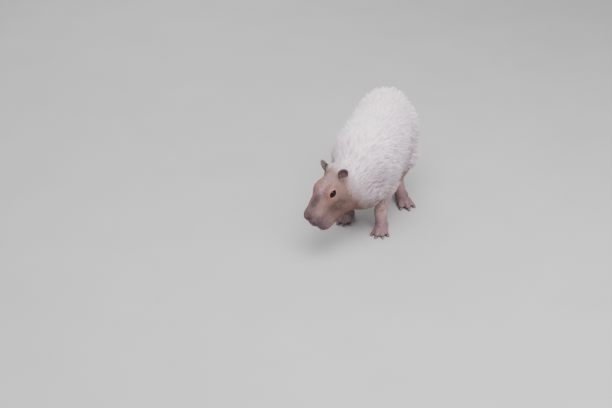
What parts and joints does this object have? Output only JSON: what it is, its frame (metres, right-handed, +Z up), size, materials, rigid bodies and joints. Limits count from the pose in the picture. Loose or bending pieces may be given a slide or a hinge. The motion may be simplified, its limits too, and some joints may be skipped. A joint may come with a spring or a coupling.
{
  "type": "capybara model",
  "caption": "Life-size still model of a pale capybara that walks with its blunt head lowered and turned to its right, with a coarse tufted coat.",
  "frame": {"origin": "middle of the bounding box on the ground that the feet stand on", "axes": "+Z up, the trunk along Y with the nose towards -Y, the animal's left side towards +X"},
  "size_m": [0.3444, 0.8475, 0.4988],
  "materials": {
    "coat": "coarse pale hair over skin",
    "face": "short flat tan hair over skin",
    "ear_skin": "thin dark bare skin",
    "eye": "wet dark eye",
    "leg": "short flat pinkish tan hair over skin",
    "foot": "bare wrinkled skin",
    "claw": "dull horn"
  },
  "bodies": {
    "root": {"torso": "coat", "neck": "coat", "head": "face", "ear_left": "ear_skin", "ear_right": "ear_skin", "eye_left": "eye", "eye_right": "eye", "foreleg_left": "leg", "forefoot_left": "foot", "forefoot_left_claw_1": "claw", "forefoot_left_claw_2": "claw", "forefoot_left_claw_3": "claw", "forefoot_left_claw_4": "claw", "foreleg_right": "leg", "forefoot_right": "foot", "forefoot_right_claw_1": "claw", "forefoot_right_claw_2": "claw", "forefoot_right_claw_3": "claw", "forefoot_right_claw_4": "claw", "hindleg_left": "leg", "hindfoot_left": "foot", "hindfoot_left_claw_1": "claw", "hindfoot_left_claw_2": "claw", "hindfoot_left_claw_3": "claw", "hindleg_right": "leg", "hindfoot_right": "foot", "hindfoot_right_claw_1": "claw", "hindfoot_right_claw_2": "claw", "hindfoot_right_claw_3": "claw"}
  },
  "joints": []
}
